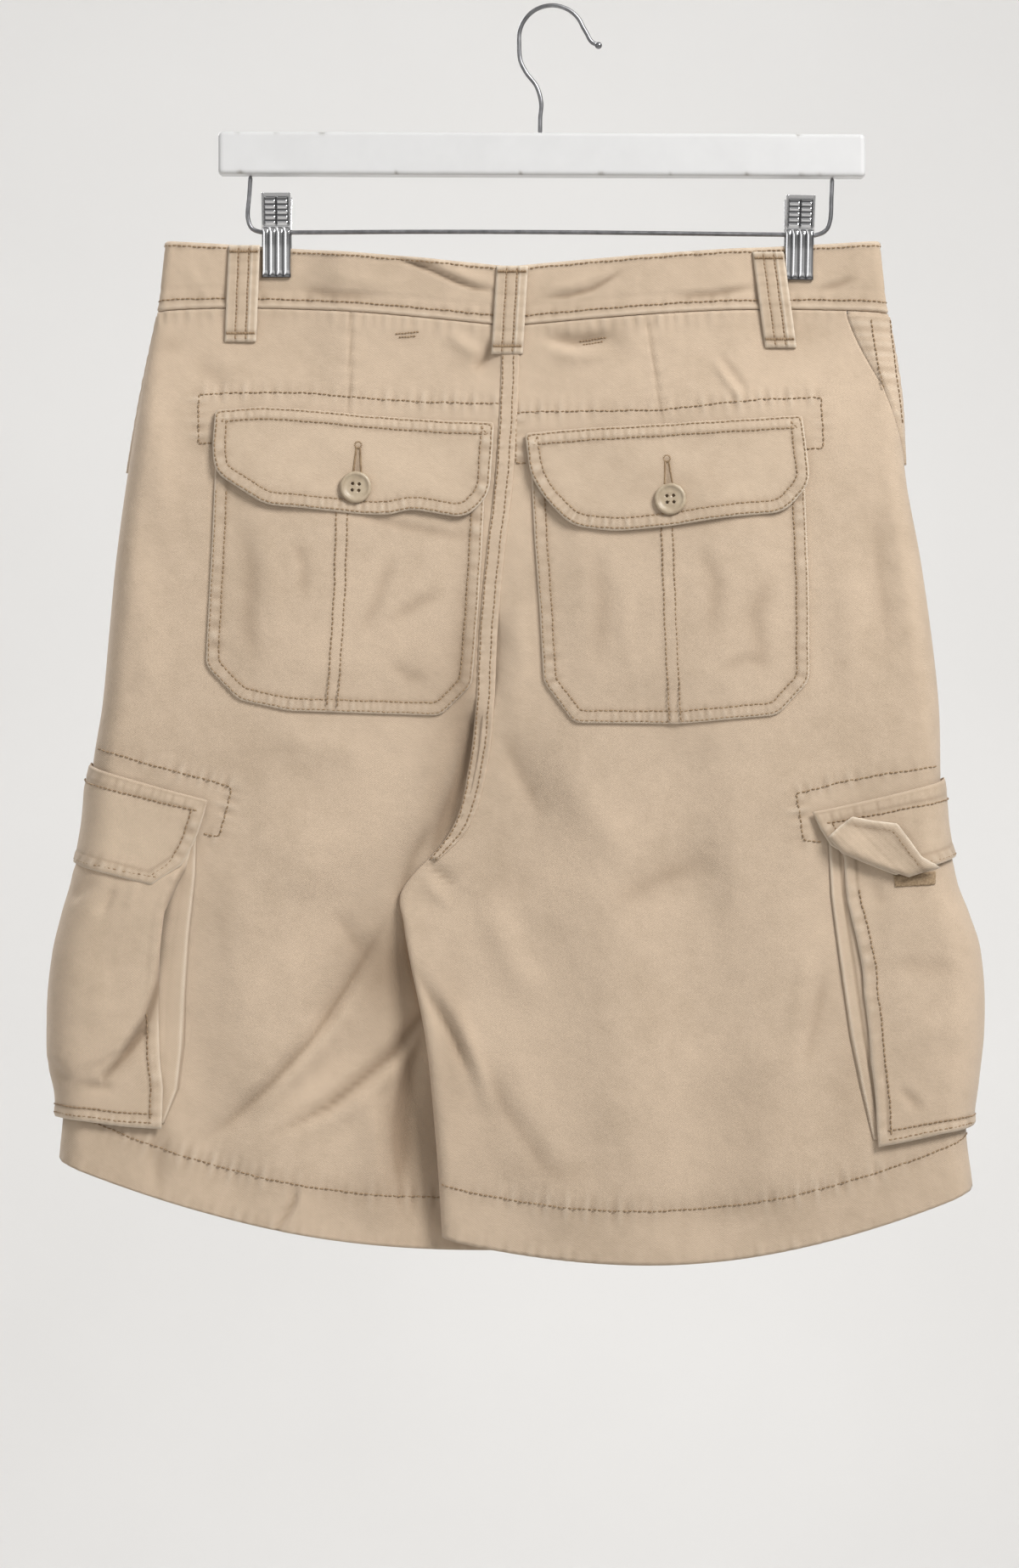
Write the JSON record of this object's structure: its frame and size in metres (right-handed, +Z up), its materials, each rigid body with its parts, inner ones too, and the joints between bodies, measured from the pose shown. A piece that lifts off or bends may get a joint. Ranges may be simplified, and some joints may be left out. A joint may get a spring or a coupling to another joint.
{
  "type": "cargo shorts on a clip hanger",
  "caption": "Khaki cargo shorts with flapped seat and leg pockets, hung flat by the waistband from a painted wooden bar hanger with metal clips.",
  "frame": {"origin": "inside top of the hanger hook's crown, where the hook rests on what carries it", "axes": "+Z up; the seat of the shorts faces -Y and the fly +Y; the wearer's left is towards -X"},
  "size_m": [0.5469, 0.0634, 0.7398],
  "materials": {
    "twill": "washed khaki cotton twill",
    "twill_worn": "washed khaki cotton twill, bleached by wear at its edges",
    "grip_tape": "beige hook-and-loop tape",
    "button": "semi-matt tan resin",
    "painted_wood": "white satin paint with small chips on the edges",
    "wire": "bright drawn steel wire",
    "clip_metal": "chrome plate on pressed steel"
  },
  "bodies": {
    "root": {"waistband_left": "twill", "back_panel_left": "twill", "front_panel_left": "twill", "hip_facing_left": "twill", "back_pocket_left": "twill", "cargo_bag_left": "twill", "cargo_gusset_back_left": "twill", "cargo_gusset_front_left": "twill", "back_flap_left": "twill_worn", "cargo_flap_left": "twill_worn", "back_button_left": "button", "clip_jaw_back_left": "clip_metal", "clip_jaw_front_left": "clip_metal", "waistband_right": "twill", "back_panel_right": "twill", "front_panel_right": "twill", "hip_facing_right": "twill", "back_pocket_right": "twill", "cargo_bag_right": "twill", "cargo_gusset_back_right": "twill", "cargo_gusset_front_right": "twill", "back_flap_right": "twill_worn", "cargo_flap_right": "twill_worn", "back_button_right": "button", "clip_jaw_back_right": "clip_metal", "clip_jaw_front_right": "clip_metal", "fly_placket": "twill_worn", "grip_patch_right": "grip_tape", "front_button": "button", "belt_loop_back_left": "twill_worn", "belt_loop_back_centre": "twill_worn", "belt_loop_back_right": "twill_worn", "belt_loop_front_left": "twill_worn", "belt_loop_front_right": "twill_worn", "hanger_bar": "painted_wood", "hanger_hook": "wire", "hanger_rod": "wire"}
  },
  "joints": []
}
